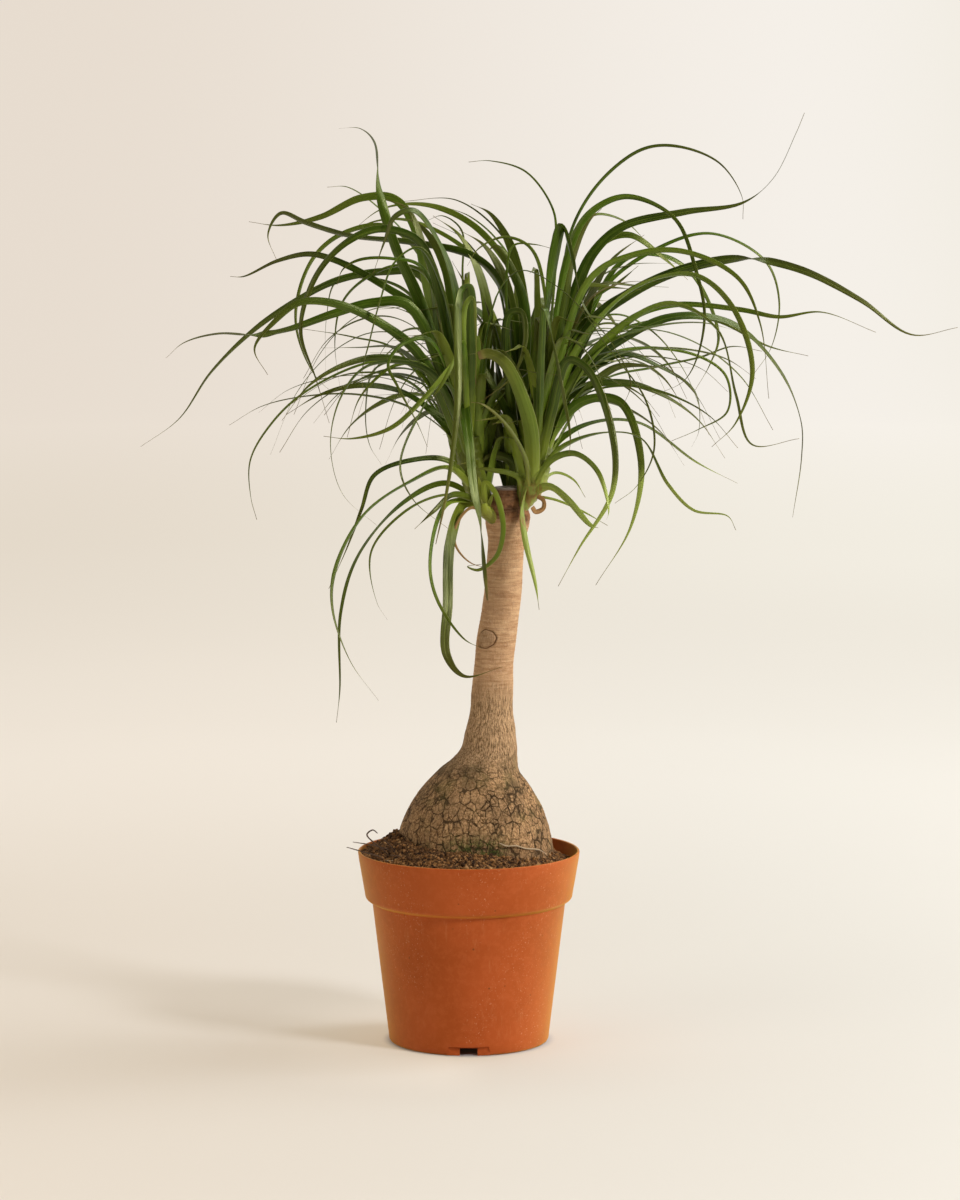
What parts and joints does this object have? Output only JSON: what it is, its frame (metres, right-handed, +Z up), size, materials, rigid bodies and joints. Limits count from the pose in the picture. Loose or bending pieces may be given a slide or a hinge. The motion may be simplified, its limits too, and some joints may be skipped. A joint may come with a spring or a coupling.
{
  "type": "potted ponytail palm",
  "caption": "Ponytail palm with a swollen cracked foot, a cut-back trunk and three heads of long arching strap leaves, in a round plastic nursery pot.",
  "frame": {"origin": "centre of the pot's flat underside, on the surface that it stands on", "axes": "+Z up, +X to the right and -Y towards the viewer in the picture"},
  "size_m": [0.6941, 0.3602, 0.7924],
  "materials": {
    "pot_plastic": "terracotta orange moulded polypropylene, semi-matt, with dust specks and light scuffs",
    "peat_soil": "dark brown peat crumbs with reddish bits and straw fibres",
    "trunk_bark": "grey-brown cracked bark on the foot, tan ringed bark above, dark red-brown at the top",
    "leaf": "deep green strap leaves with a soft waxy sheen, yellow-green at the base and brown at the tips",
    "young_leaf": "pale green young leaves with an orange-brown base"
  },
  "bodies": {
    "root": {"pot": "pot_plastic", "soil": "peat_soil", "trunk": "trunk_bark", "left_head": "leaf", "back_head": "leaf", "right_head": "leaf", "bud_shoot": "young_leaf"}
  },
  "joints": []
}
